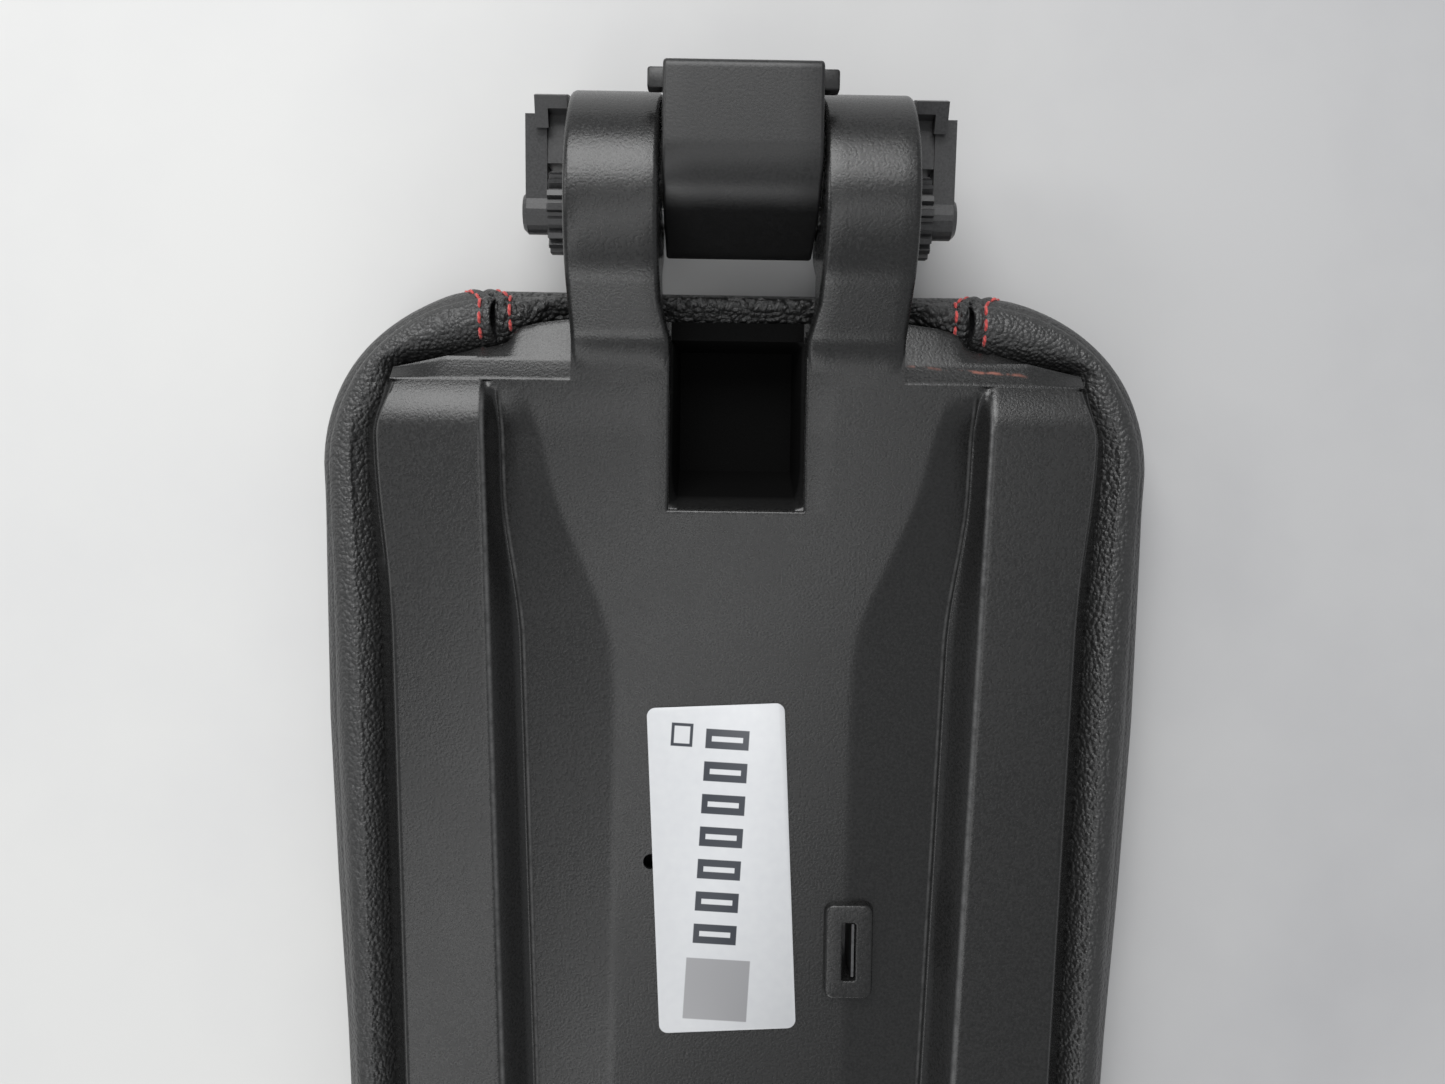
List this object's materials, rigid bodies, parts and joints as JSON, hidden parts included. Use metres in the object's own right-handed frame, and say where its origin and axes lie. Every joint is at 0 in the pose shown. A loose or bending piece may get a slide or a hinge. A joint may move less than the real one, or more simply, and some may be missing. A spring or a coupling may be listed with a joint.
{
  "type": "console armrest lid",
  "caption": "Leather padded console armrest lid lying on its top, with a moulded liner, goose-neck hinge arms and a sprung hinge block.",
  "frame": {"origin": "on the flat of the padded top, below the middle of the lid", "axes": "+X across the lid, +Y along it towards the hinge, +Z from the padded top to the moulded underside"},
  "size_m": [0.1996, 0.3508, 0.057],
  "materials": {
    "coarse_leather": "coarse grain, satin",
    "smooth_leather": "fine grain, satin",
    "foam": "open cell foam",
    "tray_plastic": "plain moulded",
    "grained_plastic": "fine moulded grain",
    "block_plastic": "smooth moulded",
    "gear_plastic": "smooth moulded",
    "bush_plastic": "turned",
    "steel": "bright rolled",
    "label_paper": "coated paper"
  },
  "bodies": {
    "lid": {"cover_centre": "coarse_leather", "cover_left": "smooth_leather", "cover_right": "smooth_leather", "foam_pad": "foam", "carrier_tray": "tray_plastic", "inner_panel": "grained_plastic", "slot_clip": "steel", "label": "label_paper", "arm_bush_left_inner": "bush_plastic", "arm_bush_left_outer": "bush_plastic", "arm_bush_right_inner": "bush_plastic", "arm_bush_right_outer": "bush_plastic"},
    "console_hinge": {"hinge_block": "block_plastic", "hinge_bracket": "steel", "hinge_axle": "steel", "torsion_spring_left": "steel", "torsion_spring_right": "steel", "toothed_wheel_left": "gear_plastic", "toothed_wheel_right": "gear_plastic", "end_stop_left": "gear_plastic", "end_stop_right": "gear_plastic", "thrust_washer_left": "bush_plastic", "thrust_washer_right": "bush_plastic"}
  },
  "joints": [
    {"name": "lid_hinge", "type": "hinge", "parent": "lid", "child": "console_hinge", "pos_m": [0, 0.1636, 0.0297], "axis": [1, 0, 0], "range_deg": [0, 65], "stiffness_Nm_per_rad": 0.1, "springref_deg": -22.92}
  ]
}
